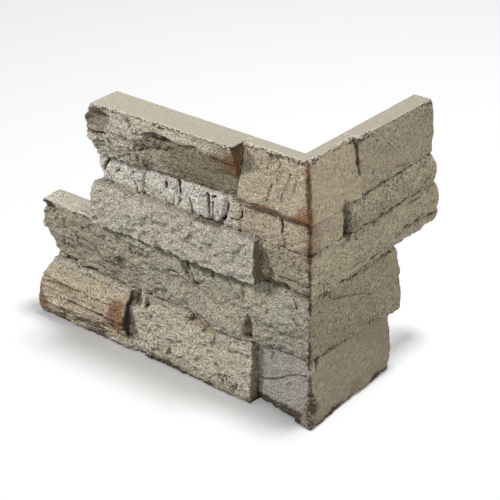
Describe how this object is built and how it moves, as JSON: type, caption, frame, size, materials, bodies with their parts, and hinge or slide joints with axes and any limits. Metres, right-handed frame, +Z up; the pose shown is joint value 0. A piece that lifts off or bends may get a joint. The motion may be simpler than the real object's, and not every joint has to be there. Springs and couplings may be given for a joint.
{
  "type": "stone cladding corner piece",
  "caption": "L-shaped cast stone veneer corner panel with split-face courses, bonded to an outside wall corner by its flat back faces.",
  "frame": {"origin": "where the two back faces meet, the corner of the wall, at the level of the bottom bed", "axes": "+Z up; the long leg runs along -X with its back facing +Y; the short leg runs along +Y with its back facing -X"},
  "size_m": [0.2707, 0.1652, 0.2],
  "materials": {
    "cast_stone": "rough split face in grey beige with rust stains at the arris and the stone ends"
  },
  "bodies": {
    "root": {"corner_panel": "cast_stone"}
  },
  "joints": []
}
